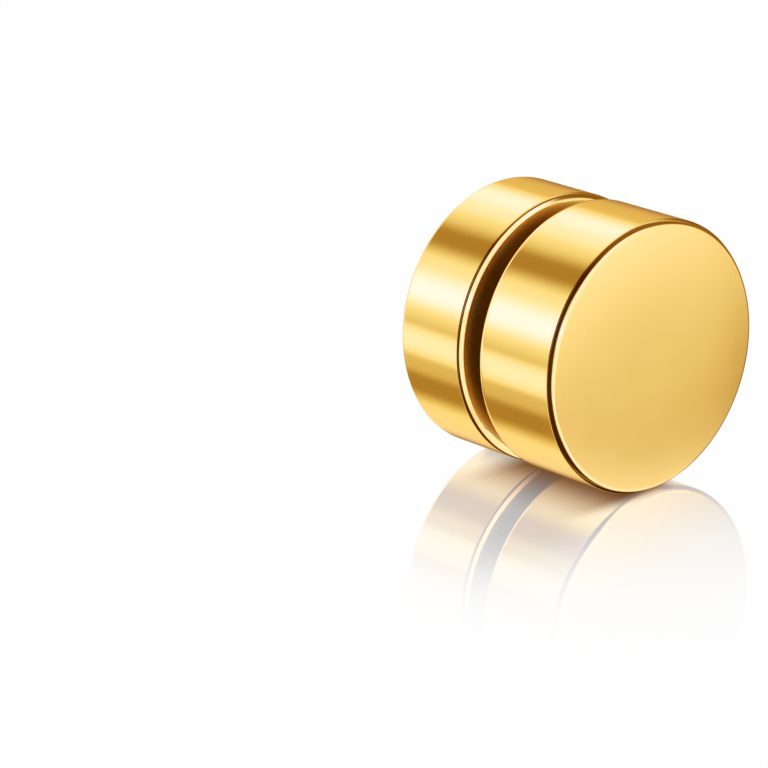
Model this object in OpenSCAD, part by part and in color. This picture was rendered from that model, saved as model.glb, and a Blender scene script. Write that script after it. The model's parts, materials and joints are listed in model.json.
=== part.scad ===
// Magnetic stud earring: two gold-plated steel drums of one diameter, each with a disc magnet in a pocket.
// The earring lies on its round side. Its axis runs along Y, the front face looks towards -Y and +Z is up.
// The origin is on the line of contact with the table, midway between the two end faces.

/* [Shells] */
// Outside diameter of both shells
outer_d = 8; // [7:0.5:12]
// Length of the front shell, from its face to its inner end
front_len = 3; // [2.6:0.1:5]
// Length of the back shell, from its inner end to its outer end
back_len = 2.65; // [2.45:0.05:5]
// Gap between the two shells when the magnets meet
shell_gap = 0.78; // [0.3:0.02:1.6]

/* [Edges] */
// Radius of the round on the rim of each shell's outer end
rim_round_r = 0.2; // [0.05:0.05:0.6]
// Width of the 45 degree bevel on the back shell's inner rim
inner_bevel = 0.14; // [0.05:0.01:0.4]
// Radius of the small edge break on the front shell's inner rim
edge_break_r = 0.06; // [0.02:0.01:0.2]

/* [Magnets] */
// Diameter of each disc magnet
magnet_d = 5; // [3:0.5:6]
// Thickness of each disc magnet
magnet_t = 2; // [1:0.1:2.1]
// Width of the 45 degree chamfer on both rims of a magnet
magnet_chamfer = 0.15; // [0.05:0.05:0.3]
// Room for glue round a magnet and behind it
glue_gap = 0.05; // [0.02:0.01:0.1]
// Gap left between the two magnets when the earring is closed
magnet_gap = 0.04; // [0.02:0.01:0.1]

/* [Hidden] */
$fn = 96;
// Reach of a cutting shape past the surface that it cuts
overcut = 1;
outer_r = outer_d / 2;
magnet_r = magnet_d / 2;
pocket_r = magnet_r + glue_gap;
// How far each magnet stands out of its shell, so that the pair keeps the shells apart
magnet_proud = (shell_gap - magnet_gap) / 2;
pocket_depth = magnet_t - magnet_proud + glue_gap;
total_len = front_len + shell_gap + back_len;
front_face_y = -total_len / 2;
front_inner_y = front_face_y + front_len;
back_inner_y = front_inner_y + shell_gap;
front_magnet_y = front_inner_y + magnet_proud - magnet_t;
back_magnet_y = back_inner_y - magnet_proud;
// Angle from the bottom of a drum to the line where its turned surface starts. A mesh of the drum with 63 sides then
// has the middle of a side about 2 degrees from the bottom, and rolls no further than that to lie still.
seam_turn = 4.96;
gold = [0.87, 0.67, 0.30];
nickel = [0.70, 0.69, 0.67];

// Turns a half profile about the earring's axis. In the profile X is the radius and Y is the way backwards from y.
module turned(y) {
    translate([0, y, outer_r])
        rotate([-90, 90 + seam_turn, 0])
            rotate_extrude()
                children();
}

// What a round of radius r takes off a corner at the origin, where the metal lies towards -X and +Y
module round_cut(r) {
    difference() {
        translate([-r, -overcut])
            square([r + overcut, r + overcut]);
        translate([-r, r])
            circle(r);
    }
}

// What a 45 degree bevel of width w takes off the same corner
module bevel_cut(w) {
    polygon([[-w - overcut, -overcut], [overcut, -overcut], [overcut, w + overcut]]);
}

// Half profile of a shell whose outer end is at Y = 0. The child is the cut on its inner rim.
module shell_profile(len) {
    difference() {
        square([outer_r, len]);
        translate([outer_r, 0])
            round_cut(rim_round_r);
        translate([outer_r, len])
            mirror([0, 1])
                children();
        translate([-overcut, len - pocket_depth])
            square([pocket_r + overcut, pocket_depth + overcut]);
    }
}

// Half profile of a disc magnet from Y = 0 to its thickness
module magnet_profile() {
    difference() {
        square([magnet_r, magnet_t]);
        translate([magnet_r, 0])
            bevel_cut(magnet_chamfer);
        translate([magnet_r, magnet_t])
            mirror([0, 1])
                bevel_cut(magnet_chamfer);
    }
}

// The drum that shows in front of the ear, open at the back for its magnet
module front_shell() {
    color(gold)
        turned(front_face_y)
            shell_profile(front_len)
                round_cut(edge_break_r);
}

// The disc magnet glued in the front shell
module front_magnet() {
    color(nickel)
        turned(front_magnet_y)
            magnet_profile();
}

// The drum that sits behind the ear, open at the front for its magnet
module back_shell() {
    color(gold)
        turned(back_inner_y + back_len)
            mirror([0, 1])
                shell_profile(back_len)
                    bevel_cut(inner_bevel);
}

// The disc magnet glued in the back shell
module back_magnet() {
    color(nickel)
        turned(back_magnet_y)
            magnet_profile();
}

front_shell();
front_magnet();
back_shell();
back_magnet();
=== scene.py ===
import json
import math

import bpy
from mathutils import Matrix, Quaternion, Vector


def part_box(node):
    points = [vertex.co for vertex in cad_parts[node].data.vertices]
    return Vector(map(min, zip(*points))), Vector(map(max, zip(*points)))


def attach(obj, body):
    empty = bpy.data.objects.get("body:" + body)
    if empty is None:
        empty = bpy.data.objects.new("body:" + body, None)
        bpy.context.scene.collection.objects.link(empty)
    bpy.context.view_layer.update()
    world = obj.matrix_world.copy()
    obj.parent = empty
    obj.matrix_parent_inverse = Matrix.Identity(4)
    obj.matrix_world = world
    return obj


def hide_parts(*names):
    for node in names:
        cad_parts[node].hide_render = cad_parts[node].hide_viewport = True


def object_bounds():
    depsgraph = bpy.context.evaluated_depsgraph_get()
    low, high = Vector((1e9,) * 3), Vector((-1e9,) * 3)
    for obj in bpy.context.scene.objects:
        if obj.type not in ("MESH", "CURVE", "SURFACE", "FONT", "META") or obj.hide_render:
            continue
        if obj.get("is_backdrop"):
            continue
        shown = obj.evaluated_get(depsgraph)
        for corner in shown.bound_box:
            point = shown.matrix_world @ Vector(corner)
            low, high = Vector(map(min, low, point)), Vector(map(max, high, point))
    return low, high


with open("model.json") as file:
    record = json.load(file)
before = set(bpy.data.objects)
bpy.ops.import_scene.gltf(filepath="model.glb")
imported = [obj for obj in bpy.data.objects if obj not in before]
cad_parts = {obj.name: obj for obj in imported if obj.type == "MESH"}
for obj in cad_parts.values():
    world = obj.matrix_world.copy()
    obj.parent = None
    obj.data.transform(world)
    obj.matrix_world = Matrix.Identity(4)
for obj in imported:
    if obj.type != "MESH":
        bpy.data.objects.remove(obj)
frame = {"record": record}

MM = 0.001
cad_low, cad_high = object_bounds()

# Sizes read from the frame, in metres. The earring lies on its round side, so its radius is its axis's height.
mounts = {m["name"]: m for m in frame["record"]["mounts"]}
AXIS_Z = mounts["back_face"]["pos_m"][2]
OUTER_R = AXIS_Z
front_low, front_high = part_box("front_shell")
back_low, back_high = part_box("back_shell")
front_magnet_low, front_magnet_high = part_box("front_magnet")
back_magnet_low, back_magnet_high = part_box("back_magnet")
MAGNET_R = front_magnet_high.z - AXIS_Z
GLUE_GAP = 0.05 * MM
FOOTPRINT_HALF = (cad_high.y - cad_low.y) / 2   # half the length of the line on which the earring rests

# Edges of the drums. The round on each outer rim is worn to a soft bevel of four arcs. Each row: the angle from the
# wall's normal at which the arc ends, in degrees, and its radius. The last one ends where the satin face starts.
RIM_ARCS = [(8, 0.25 * MM), (33, 0.08 * MM), (41, 0.7 * MM), (None, 0.17 * MM)]
FACE_LEAN = math.radians(5.4)   # how far the satin face leans back where it meets the rim
FACE_FLAT_SHARE = 0.05      # share of the face's radius that is quite flat
SURFACE_POWER = 6           # power of the distance from there, by which the surface leans more and more
BRUSHED_POWER = 2           # the same for its shading: the brushing has rounded the grain before the surface
BEVEL_TURN = 58             # bevel on the back drum's inner rim: degrees between the wall's normal and its own
BEVEL_DEPTH = 0.16 * MM     # how far it takes the rim inwards
BEVEL_OUTER_SOFTENING = 0.13 * MM   # radius of its worn corner with the wall
BEVEL_INNER_SOFTENING = 0.18 * MM   # radius of its worn corner with the inner face
RING_WORN_TURN = 75         # shading of the flat ring inside it: degrees at its outer edge, 90 is flat
RING_WORN_WIDTH = 0.45 * MM     # how far in from there the shading goes
RING_FLAT_TURN = 90
EDGE_BREAK = 0.09 * MM      # round on the front drum's inner rim
EDGE_WORN_TURN = 12         # shading of the wall next to it: degrees at the round
EDGE_WORN_WIDTH = 0.08 * MM
POCKET_BREAK = 0.04 * MM    # round on each pocket's mouth
MAGNET_CHAMFER = 0.15 * MM
CHAMFER_TURN = 45
MAGNET_SOFTENING = 0.03 * MM

# Fineness of the turned meshes
TURN_STEPS = 192
ARC_STEPS = 12
RIM_STEPS = 6
FACE_STEPS = 24
WALL_STEPS = 8
RING_STEPS = 24
CHAMFER_STEPS = 4
ON_AXIS = 1e-9              # a ring of a smaller radius is a single point

# Places of a drum's finishes in its list of materials
WALL, FACE, INSIDE = 0, 1, 2

# Camera: where it stood, the direction of its optical axis and how far it leans to the right
CAMERA_PLACE = Vector((-72.395, -76.005, 39.008)) * MM
OPTICAL_AXIS = Vector((0.61426, 0.71763, -0.32817))
CAMERA_LEAN = math.radians(1.41)
FOCAL_PX = 3835             # focal length in pixels of the 768 pixel frame
FRAME_PX = 768
SENSOR_MM = 36
CLIP_START = 1 * MM
CLIP_END = 10

# Finish
GOLD = (1.0, 0.73, 0.215, 1)
GOLD_EDGE = (0.95, 0.75, 0.46, 1)   # tint of what gold reflects at a grazing angle
BARE_GOLD_PAINTED_SHADE = (0.78, 0.50, 0.08, 1)   # inside of the drums, plated but never polished, and coloured darker and redder as painted shade for the gap between them
NICKEL = (0.50, 0.47, 0.43, 1)
NICKEL_EDGE = (0.9, 0.87, 0.84, 1)
COARSE_NOISE = (3.0, 0.55)  # detail and roughness of the mottling's noise
FINE_NOISE = (2.0, 0.6)     # the same of the grain's

# Studio: long soft strips parallel to the earring's axis. Angles go round that axis, 0 towards -X and 90 upwards.
# Each row: angle, half width of the bright part, half width with the soft edge, strength
STRIPS = [
    (-105, 0, 36, 0.80),
    (-43, 0, 13, 0.33),
    (-23, 0, 16, 0.98),
    (13, 0, 31, 0.62),
    (33, 10, 32, 0.77),
    (117, 0, 33, 1.0),
    (149, 8, 42, 0.42),
]
STRIP_BASE = 0.36           # level between the strips
STRIP_ZONE = (0.56, 0.64)   # share of a direction along the axis, at which the strips start and are full
SIDE_ZONE = (0.07, 0.04)    # the same for the part of the strips that shines square on the earring's side
SIDE_SHARE = (0.25, 0.3)    # its share below the horizon, and what it gains above
SIDE_RISE = (-0.1, 0.3)     # heights between which it gains that
AMBIENT = 0.025             # level of the dark ring between the two zones
FILL = (150, 30, 85, 0.17)      # wide dim light from above and from the right in that ring
EDGE_GLOW = (-90, 75, 95, 1.0)  # light from below that ends the strips towards the ring
EDGE_GLOW_ZONE = (0.42, 0.50, 0.58, 0.64)   # where it starts, is full, starts to fade and has ended
BEHIND_ZONE = (0.82, 0.92)  # bright even light straight behind the earring
BEHIND_LEVEL = 1.3
TABLE_GLOW = 1.3            # light from the white table in front and to the right
TABLE_GLOW_START = (0.38, 0.60)     # where it starts and is full, by a direction's share rightwards and forwards
TABLE_GLOW_DEPTH = (-0.3, -0.5)     # the same by depth below the horizon
TABLE_GLOW_END = (0.82, 0.70)       # where it has ended at the right, and is full
OVERHEAD = (112, 12, 45, 1.0)   # strip above, which reaches further forwards
OVERHEAD_ZONE = (-0.15, 0.25)   # share of a direction backwards, at which it starts and is full
FRONT_ZONE = (0.56, 0.76)   # big soft light in front
FRONT_LEVEL = 1.35

# A dimmer, graded patch of that light, which the satin face mirrors
PATCH_TOWARDS = (0.653, -0.686, -0.321)
PATCH_RADIUS = (16, 38)     # degrees from there at which it is full, and has ended
PATCH_LEVEL = 0.39
PATCH_RISE = (-0.48, -0.14, 0.88)   # heights between which it gains with height, and how much
PATCH_TABLE = (-0.38, -0.49, 0.86)  # the same downwards, the glow of the white table
PATCH_LEFT = (0.50, 0.28, 0.15)     # the same towards the left
PATCH_RIGHT = (0.72, 0.77, -0.25)   # what it loses at the right

WARMTH = (0.8, 1.27, 2.4)   # powers of red, green and blue: dim parts of the studio are warm
BRIGHT_GREEN = 0.57         # power of green where the level is over 1, so that bright parts stay cream
BACKDROP = 0.991            # level of the white behind the earring and of the floor

# Floor: what it mirrors, and how it darkens where the earring rests
FLOOR_HALF = 200 * MM
MIRROR_NEAR = 0.52          # how much of the earring it mirrors where they touch
MIRROR_ASIDE = (7.8 * MM, 4.0)  # distance aside at which about a third of that is left, and how suddenly it drops
MIRROR_PAST = (3.4 * MM, 1.5)   # the same past the drums' faces
# Painted contact shadow: a dark strip on the floor under the drums that only the metal's reflections see
CONTACT_SHADOW_ZONE = (1.6 * MM, 0.5 * MM)     # half width of the dark strip of painted contact shadow that the drums see under themselves
CONTACT_SHADOW_END = (0.0, 0.4 * MM)   # how it fades in from each end of the footprint
CONTACT_SHADOW_COLOUR = (0.12, 0.04, 0.006, 1)
# Brown shade on the floor: where it starts and is full, from the left and from the right, and then from the back and
# from the front
SHADE_X = ((-4.2 * MM, -0.6 * MM), (1.0 * MM, 0.1 * MM))
SHADE_Y = ((2.2 * MM, 0.9 * MM), (-3.6 * MM, -2.8 * MM))
SHADE_COLOUR = (0.30, 0.13, 0.02)


def line(r0, s0, r1, s1, steps=1):
    """Points on a straight stretch of a half profile, the metal lying on its left.

    Each point is (r, s, normal r, normal s), with r the distance from the axis and s the distance along it.
    """
    length = math.hypot(r1 - r0, s1 - s0)
    nr, ns = (s1 - s0) / length, (r0 - r1) / length
    return [(r0 + (r1 - r0) * i / steps, s0 + (s1 - s0) * i / steps, nr, ns) for i in range(steps + 1)]


def arc(centre_r, centre_s, radius, start_deg, end_deg, steps=ARC_STEPS):
    """Points on a convex round. The angle starts at +r and turns towards +s."""
    points = []
    for i in range(steps + 1):
        t = math.radians(start_deg + (end_deg - start_deg) * i / steps)
        c, s = math.cos(t), math.sin(t)
        points.append((centre_r + radius * c, centre_s + radius * s, c, s))
    return points


def turned(name, end_y, facing, runs, materials):
    """Turns a half profile about the earring's axis.

    facing is 1 where s runs towards +Y from end_y, and else -1. Each run is (points, material index) and starts where
    the last one ends. The profile starts and ends on the axis.
    """
    vertices, faces, face_materials, loop_normals = [], [], [], []
    turns = [2 * math.pi * k / TURN_STEPS for k in range(TURN_STEPS)]

    def ring(r, s):
        y = end_y + facing * s
        start = len(vertices)
        if r < ON_AXIS:
            vertices.append((0.0, y, AXIS_Z))
            return [start] * TURN_STEPS
        vertices.extend((r * math.sin(a), y, AXIS_Z + r * math.cos(a)) for a in turns)
        return [start + k for k in range(TURN_STEPS)]

    previous = None
    for points, material in runs:
        rings = [previous or ring(*points[0][:2])]
        rings += [ring(*p[:2]) for p in points[1:]]
        previous = rings[-1]
        for (p, q), (low, high) in zip(zip(points, points[1:]), zip(rings, rings[1:])):
            for k in range(TURN_STEPS):
                k2 = (k + 1) % TURN_STEPS
                corners = [(low[k], p, k), (low[k2], p, k2), (high[k2], q, k2), (high[k], q, k)]
                if low[k] == low[k2]:
                    del corners[1]
                elif high[k] == high[k2]:
                    del corners[2]
                if facing < 0:
                    corners.reverse()
                faces.append([vertex for vertex, _, _ in corners])
                face_materials.append(material)
                loop_normals.extend((nr * math.sin(turns[step]), facing * ns, nr * math.cos(turns[step]))
                                    for _, (_, _, nr, ns), step in corners)
    mesh = bpy.data.meshes.new(name)
    mesh.from_pydata(vertices, [], faces)
    mesh.polygons.foreach_set("material_index", face_materials)
    mesh.polygons.foreach_set("use_smooth", [True] * len(faces))
    mesh.update()
    mesh.normals_split_custom_set(loop_normals)
    for m in materials:
        mesh.materials.append(m)
    obj = bpy.data.objects.new(name, mesh)
    bpy.context.scene.collection.objects.link(obj)
    return obj


def outer_rim():
    """Points of a drum's outer rim, from the satin face, here at s = 0, to the wall."""
    r, s, turn = OUTER_R, 0.0, 0.0
    points = [(r, s, 1.0, 0.0)]
    for end, radius in RIM_ARCS:
        end = math.pi / 2 - FACE_LEAN if end is None else math.radians(end)
        for i in range(1, RIM_STEPS + 1):
            t = turn + (end - turn) * i / RIM_STEPS
            points.append((r + radius * (math.cos(t) - math.cos(turn)),
                           s - radius * (math.sin(t) - math.sin(turn)), math.cos(t), -math.sin(t)))
        r, s, turn = *points[-1][:2], end
    return [(p[0], p[1] - s, *p[2:]) for p in reversed(points)]


def end_face():
    """Points of the satin face, which leans back a little towards the rim."""
    flat_r = FACE_FLAT_SHARE * OUTER_R
    end_r = outer_rim()[0][0]
    width = end_r - flat_r
    points = line(0, 0, flat_r, 0)
    for i in range(1, FACE_STEPS + 1):
        t = i / FACE_STEPS
        depth = math.tan(FACE_LEAN) * width * t ** (SURFACE_POWER + 1) / (SURFACE_POWER + 1)
        shaded = math.tan(FACE_LEAN) * t ** BRUSHED_POWER
        size = math.hypot(shaded, 1)
        points.append((flat_r + width * t, depth, shaded / size, -1 / size))
    return points


def round_break(length):
    """The front drum's inner rim: the wall's end, shaded as if worn, and a small round.

    Gives the points, the radius at which the flat ring inside starts, and the ring's shading there in degrees.
    """
    inner = OUTER_R - EDGE_BREAK
    points = [(OUTER_R, length - EDGE_BREAK - EDGE_WORN_WIDTH, 1.0, 0.0)]
    for r, s, nr, ns in arc(inner, length - EDGE_BREAK, EDGE_BREAK, 0, 90):
        t = max(math.atan2(ns, nr), math.radians(EDGE_WORN_TURN))
        points.append((r, s, math.cos(t), math.sin(t)))
    return points, inner, RING_FLAT_TURN


def bevelled_break(length):
    """The back drum's inner rim: a bevel with its two corners worn round. It gives what round_break gives."""
    outer, inner = BEVEL_OUTER_SOFTENING, BEVEL_INNER_SOFTENING
    outer_reach = outer * math.tan(math.radians(BEVEL_TURN / 2))
    inner_reach = inner * math.tan(math.radians((90 - BEVEL_TURN) / 2))
    height = BEVEL_DEPTH / math.tan(math.radians(BEVEL_TURN))
    points = arc(OUTER_R - outer, length - height - outer_reach, outer, 0, BEVEL_TURN)
    for r, s, nr, ns in arc(OUTER_R - BEVEL_DEPTH - inner_reach, length - inner, inner, BEVEL_TURN, 90):
        t = min(math.atan2(ns, nr), math.radians(RING_WORN_TURN))
        points.append((r, s, math.cos(t), math.sin(t)))
    return points, OUTER_R - BEVEL_DEPTH - inner_reach, RING_WORN_TURN


def inner_ring(outer_r, inner_r, length, turn):
    """The flat ring round the pocket's mouth, shaded as if worn from turn degrees at its outer edge."""
    points = []
    for r, s, _, _ in line(outer_r, length, inner_r, length, RING_STEPS):
        worn = max(0.0, 1 - (outer_r - r) / RING_WORN_WIDTH)
        t = math.radians(RING_FLAT_TURN - (RING_FLAT_TURN - turn) * worn)
        points.append((r, s, math.cos(t), math.sin(t)))
    return points


def drum_runs(length, pocket_floor, inner_rim):
    """Half profile of a drum, from the middle of its outer face round to the middle of its pocket's floor.

    pocket_floor is that floor's distance from the outer face, and inner_rim the function for the inner rim.
    """
    face = end_face()
    outer_round = [(r, s + face[-1][1], nr, ns) for r, s, nr, ns in outer_rim()]
    rim, ring_r, ring_turn = inner_rim(length)
    pocket_r = MAGNET_R + GLUE_GAP
    wall = line(*outer_round[-1][:2], *rim[0][:2], WALL_STEPS)
    mouth = arc(pocket_r + POCKET_BREAK, length - POCKET_BREAK, POCKET_BREAK, 90, 180)
    return [
        (face, FACE),
        (outer_round + wall[1:] + rim[1:], WALL),
        (inner_ring(ring_r, pocket_r + POCKET_BREAK, length, ring_turn) + mouth[1:], INSIDE),
        (line(pocket_r, length - POCKET_BREAK, pocket_r, pocket_floor), INSIDE),
        (line(pocket_r, pocket_floor, 0, pocket_floor), INSIDE),
    ]


def magnet_runs(thickness):
    """Half profile of a disc magnet with its two chamfers, their corners worn a little."""
    c, r = MAGNET_CHAMFER, MAGNET_SOFTENING
    reach = r * math.tan(math.radians(CHAMFER_TURN / 2))
    flat_r = MAGNET_R - c - reach
    edge = arc(flat_r, r, r, -90, -CHAMFER_TURN, CHAMFER_STEPS)
    edge += arc(MAGNET_R - r, c + reach, r, -CHAMFER_TURN, 0, CHAMFER_STEPS)
    other = arc(MAGNET_R - r, thickness - c - reach, r, 0, CHAMFER_TURN, CHAMFER_STEPS)
    other += arc(flat_r, thickness - r, r, CHAMFER_TURN, 90, CHAMFER_STEPS)
    profile = line(0, 0, flat_r, 0) + edge[1:] + other + line(flat_r, thickness, 0, thickness)[1:]
    return [(profile, 0)]


class Nodes:
    """Builds a node tree in few words."""

    def __init__(self, tree):
        self.tree = tree
        tree.nodes.clear()

    def add(self, kind, *sources, **settings):
        node = self.tree.nodes.new(kind)
        for key, value in settings.items():
            setattr(node, key, value)
        for socket, source in zip(node.inputs, sources):
            self.feed(socket, source)
        return node

    def feed(self, socket, source):
        if source is None:
            return
        if isinstance(source, bpy.types.NodeSocket):
            self.tree.links.new(source, socket)
        else:
            socket.default_value = source

    def math(self, operation, *sources):
        return self.add("ShaderNodeMath", *sources, operation=operation).outputs[0]

    def soft_step(self, value, start, full, top=1.0):
        """0 up to start, top from full on, and a smooth rise between. start may lie above full."""
        node = self.add("ShaderNodeMapRange", value, interpolation_type="SMOOTHSTEP")
        if start > full:
            self.feed(node.inputs["Value"], self.math("MULTIPLY", value, -1.0))
            start, full = -start, -full
        node.inputs["From Min"].default_value = start
        node.inputs["From Max"].default_value = full
        node.inputs["To Max"].default_value = top
        return node.outputs["Result"]


def new_material(name):
    material = bpy.data.materials.new(name)
    material.use_nodes = True
    return material, Nodes(material.node_tree)


def metal(name, colour, edge, roughness, roughness_change, mottle, mottle_mm, grain, grain_mm, grain_depth_mm):
    """A metal whose colour is mottled a little, with a fine grain in relief.

    mottle is the share by which the colour's brightness changes over mottle_mm, grain the share over grain_mm.
    """
    material, n = new_material(name)
    place = n.add("ShaderNodeTexCoord").outputs["Object"]
    coarse = n.add("ShaderNodeTexNoise", place, None, 1 / (mottle_mm * MM), *COARSE_NOISE).outputs["Fac"]
    fine = n.add("ShaderNodeTexNoise", place, None, 1 / (grain_mm * MM), *FINE_NOISE).outputs["Fac"]

    def varied(noise, amount):
        return n.math("MULTIPLY", n.math("SUBTRACT", noise, 0.5), 2 * amount)

    level = n.math("ADD", n.math("ADD", varied(coarse, mottle), varied(fine, grain)), 1.0)
    tinted = n.add("ShaderNodeVectorMath", operation="SCALE")
    tinted.inputs[0].default_value = colour[:3]
    n.feed(tinted.inputs["Scale"], level)
    rough = n.math("ADD", varied(coarse, roughness_change), roughness)
    bump = n.add("ShaderNodeBump")
    bump.inputs["Strength"].default_value = 1.0
    bump.inputs["Distance"].default_value = grain_depth_mm * MM
    n.feed(bump.inputs["Height"], fine)
    shader = n.add("ShaderNodeBsdfPrincipled")
    shader.inputs["Metallic"].default_value = 1.0
    shader.inputs["Specular Tint"].default_value = edge
    n.feed(shader.inputs["Base Color"], tinted.outputs[0])
    n.feed(shader.inputs["Roughness"], rough)
    n.feed(shader.inputs["Normal"], bump.outputs[0])
    n.add("ShaderNodeOutputMaterial", shader.outputs[0])
    return material


def studio_world():
    """Soft light by direction for the metal. The camera and mirror-sharp rays see a plain white backdrop."""
    world = bpy.data.worlds.new("studio")
    bpy.context.scene.world = world
    world.use_nodes = True
    n = Nodes(world.node_tree)
    direction = n.add("ShaderNodeTexCoord").outputs["Generated"]
    x, y, z = n.add("ShaderNodeSeparateXYZ", direction).outputs
    across = n.add("ShaderNodeCombineXYZ", x, 0.0, z).outputs[0]
    across = n.add("ShaderNodeVectorMath", across, operation="NORMALIZE").outputs[0]
    along = n.math("ABSOLUTE", y)

    def strip(angle, bright, edge, strength):
        a = math.radians(angle)
        towards = n.add("ShaderNodeVectorMath", across, operation="DOT_PRODUCT")
        towards.inputs[1].default_value = (-math.cos(a), 0, math.sin(a))
        ended, full = math.cos(math.radians(edge)), math.cos(math.radians(bright))
        return n.soft_step(towards.outputs["Value"], ended, full, strength)

    def mixed(share, low, high):
        return n.math("ADD", low, n.math("MULTIPLY", share, n.math("SUBTRACT", high, low)))

    strips = STRIP_BASE
    for row in STRIPS:
        strips = n.math("ADD", strips, strip(*row))
    side = n.math("ADD", SIDE_SHARE[0], n.soft_step(z, *SIDE_RISE, SIDE_SHARE[1]))
    side = n.math("MULTIPLY", side, n.soft_step(along, *SIDE_ZONE))
    zone = n.math("ADD", n.soft_step(along, *STRIP_ZONE), side)
    level = mixed(zone, n.math("ADD", AMBIENT, strip(*FILL)), strips)
    level = mixed(n.soft_step(y, *BEHIND_ZONE), level, BEHIND_LEVEL)
    overhead = n.math("MULTIPLY", strip(*OVERHEAD), n.soft_step(y, *OVERHEAD_ZONE))
    front = n.soft_step(n.math("MULTIPLY", y, -1.0), *FRONT_ZONE, FRONT_LEVEL)
    starts, full, fades, ends = EDGE_GLOW_ZONE
    glow = n.math("MULTIPLY", strip(*EDGE_GLOW), n.soft_step(y, starts, full))
    glow = n.math("MULTIPLY", glow, n.soft_step(y, ends, fades))
    table = n.soft_step(n.math("SUBTRACT", x, y), *TABLE_GLOW_START, TABLE_GLOW)
    table = n.math("MULTIPLY", table, n.soft_step(z, *TABLE_GLOW_DEPTH))
    table = n.math("MULTIPLY", table, n.soft_step(x, *TABLE_GLOW_END))
    for light in (overhead, front, glow, table):
        level = n.math("MAXIMUM", level, light)

    patch = PATCH_LEVEL
    for value, change in ((z, PATCH_RISE), (z, PATCH_TABLE), (x, PATCH_LEFT), (x, PATCH_RIGHT)):
        patch = n.math("ADD", patch, n.soft_step(value, *change))
    towards = n.add("ShaderNodeVectorMath", direction, operation="DOT_PRODUCT")
    towards.inputs[1].default_value = PATCH_TOWARDS
    full, ended = (math.cos(math.radians(angle)) for angle in PATCH_RADIUS)
    level = mixed(n.soft_step(towards.outputs["Value"], ended, full), level, patch)

    red, green, blue = (n.math("POWER", level, power) for power in WARMTH)
    green = n.math("MINIMUM", green, n.math("POWER", level, BRIGHT_GREEN))
    colour = n.add("ShaderNodeCombineColor", red, green, blue).outputs[0]
    light = n.add("ShaderNodeBackground", colour).outputs[0]
    white = n.add("ShaderNodeBackground", (BACKDROP, BACKDROP, BACKDROP, 1)).outputs[0]
    path = n.add("ShaderNodeLightPath")
    plain = n.math("MAXIMUM", path.outputs["Is Camera Ray"], path.outputs["Is Singular Ray"])
    n.add("ShaderNodeOutputWorld", n.add("ShaderNodeMixShader", plain, light, white).outputs[0])


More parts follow.
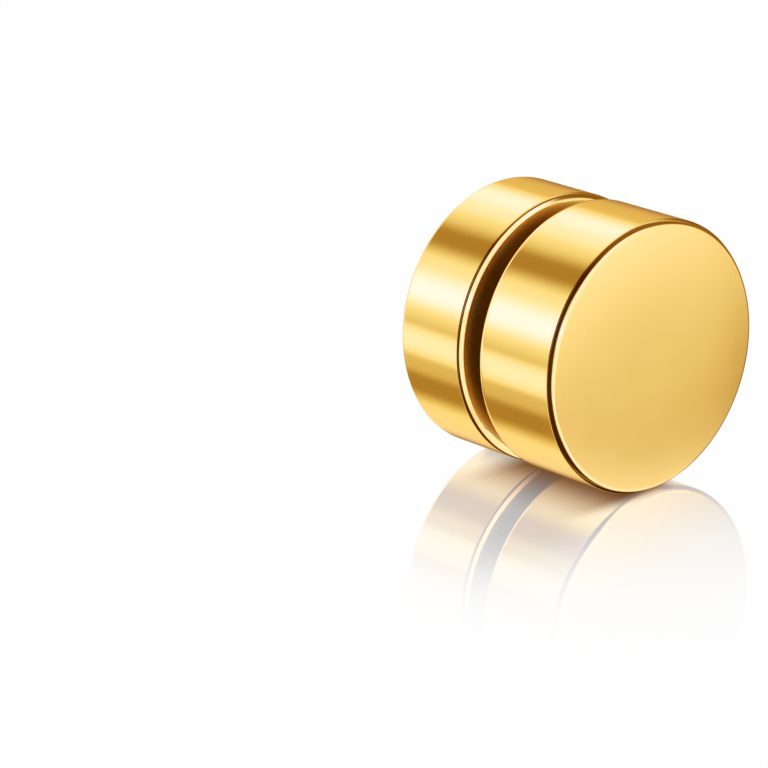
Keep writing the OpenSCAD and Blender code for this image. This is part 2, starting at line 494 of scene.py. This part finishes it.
def glossy_floor():
    """A white floor that mirrors what rests on it, less and less with the distance from it, and brown close to it.

    The metal sees only a dark strip of painted contact shadow where it touches the floor, and past that the studio's
    light by direction.
    """
    mesh = bpy.data.meshes.new("floor")
    h = FLOOR_HALF
    mesh.from_pydata([(-h, -h, 0), (h, -h, 0), (h, h, 0), (-h, h, 0)], [], [(0, 1, 2, 3)])
    floor = bpy.data.objects.new("floor", mesh)
    bpy.context.scene.collection.objects.link(floor)
    material, n = new_material("glossy_white_floor")
    place = n.add("ShaderNodeTexCoord").outputs["Object"]
    x, y, _ = n.add("ShaderNodeSeparateXYZ", place).outputs
    aside = n.math("ABSOLUTE", x)
    along = n.math("ABSOLUTE", y)
    past_end = n.math("MAXIMUM", n.math("SUBTRACT", along, FOOTPRINT_HALF), 0.0)
    fading = [n.math("POWER", n.math("DIVIDE", distance, reach), power)
              for distance, (reach, power) in ((aside, MIRROR_ASIDE), (past_end, MIRROR_PAST))]
    fading = n.math("MULTIPLY", n.math("ADD", *fading), -1.0)
    near = n.math("MULTIPLY", n.math("EXPONENT", fading), MIRROR_NEAR)
    shade = 1.0
    for value, sides in ((x, SHADE_X), (y, SHADE_Y)):
        for start, full in sides:
            shade = n.math("MULTIPLY", shade, n.soft_step(value, start, full))
    tint = n.add("ShaderNodeVectorMath", [c - 1 for c in SHADE_COLOUR], shade, (1, 1, 1),
                 operation="MULTIPLY_ADD").outputs[0]
    white = n.add("ShaderNodeEmission", tint, BACKDROP).outputs[0]
    mirror = n.add("ShaderNodeBsdfGlossy", tint)
    mirror.inputs["Roughness"].default_value = 0
    seen = n.add("ShaderNodeMixShader", near, white, mirror.outputs[0]).outputs[0]

    # Painted contact shadow under the drums, for the metal's reflections only
    painted_contact_shadow = n.add("ShaderNodeEmission", CONTACT_SHADOW_COLOUR).outputs[0]
    clear = n.add("ShaderNodeBsdfTransparent").outputs[0]
    inside = n.math("SUBTRACT", FOOTPRINT_HALF, along)
    strip = n.math("MULTIPLY", n.soft_step(aside, *CONTACT_SHADOW_ZONE), n.soft_step(inside, *CONTACT_SHADOW_END))
    shadow_seen_by_metal = n.add("ShaderNodeMixShader", strip, clear, painted_contact_shadow).outputs[0]
    path = n.add("ShaderNodeLightPath")
    n.add("ShaderNodeOutputMaterial",
          n.add("ShaderNodeMixShader", path.outputs["Is Glossy Ray"], seen, shadow_seen_by_metal).outputs[0])
    mesh.materials.append(material)
    floor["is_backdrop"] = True


def photo_camera():
    """The camera at the photograph's place and angle. The earring lies right of the middle of its frame."""
    data = bpy.data.cameras.new("camera")
    camera = bpy.data.objects.new("camera", data)
    bpy.context.scene.collection.objects.link(camera)
    data.sensor_width = SENSOR_MM
    data.lens = FOCAL_PX / FRAME_PX * SENSOR_MM
    data.clip_start = CLIP_START
    data.clip_end = CLIP_END
    camera.rotation_mode = "QUATERNION"
    camera.location = CAMERA_PLACE
    lean = Quaternion((0, 0, 1), -CAMERA_LEAN)
    camera.rotation_quaternion = OPTICAL_AXIS.to_track_quat("-Z", "Y") @ lean
    bpy.context.scene.camera = camera


photo_camera()
studio_world()
glossy_floor()

polished_gold = metal("polished_gold", GOLD, GOLD_EDGE, roughness=0.13, roughness_change=0.01,
                      mottle=0.01, mottle_mm=1.5, grain=0.01, grain_mm=0.05, grain_depth_mm=0.00002)
satin_gold = metal("satin_gold", GOLD, GOLD_EDGE, roughness=0.24, roughness_change=0.02,
                   mottle=0.02, mottle_mm=0.6, grain=0.04, grain_mm=0.07, grain_depth_mm=0.0004)
# Gold inside the drums: its darker, redder colour is painted shade for the gap between them
bare_gold = metal("bare_gold", BARE_GOLD_PAINTED_SHADE, BARE_GOLD_PAINTED_SHADE, roughness=0.35, roughness_change=0.04,
                  mottle=0.04, mottle_mm=0.8, grain=0.03, grain_mm=0.05, grain_depth_mm=0.0002)
nickel_plate = metal("nickel_plate", NICKEL, NICKEL_EDGE, roughness=0.3, roughness_change=0.03,
                     mottle=0.03, mottle_mm=0.8, grain=0.02, grain_mm=0.06, grain_depth_mm=0.0001)
shell_finishes = [polished_gold, satin_gold, bare_gold]     # in the order of WALL, FACE, INSIDE

front_length = front_high.y - front_low.y
front_pocket_floor = front_magnet_low.y - GLUE_GAP - front_low.y
front_shell = turned("front_shell_turned", front_low.y, 1,
                     drum_runs(front_length, front_pocket_floor, round_break), shell_finishes)
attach(front_shell, "front")
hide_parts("front_shell")

back_length = back_high.y - back_low.y
back_pocket_floor = back_high.y - back_magnet_high.y - GLUE_GAP
back_shell = turned("back_shell_turned", back_high.y, -1,
                    drum_runs(back_length, back_pocket_floor, bevelled_break), shell_finishes)
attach(back_shell, "back")
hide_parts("back_shell")

for side, low, high in (("front", front_magnet_low, front_magnet_high),
                        ("back", back_magnet_low, back_magnet_high)):
    magnet = turned(side + "_magnet_turned", low.y, 1, magnet_runs(high.y - low.y), [nickel_plate])
    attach(magnet, side)
    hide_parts(side + "_magnet")

bpy.context.scene.view_settings.view_transform = "Standard"

low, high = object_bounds()
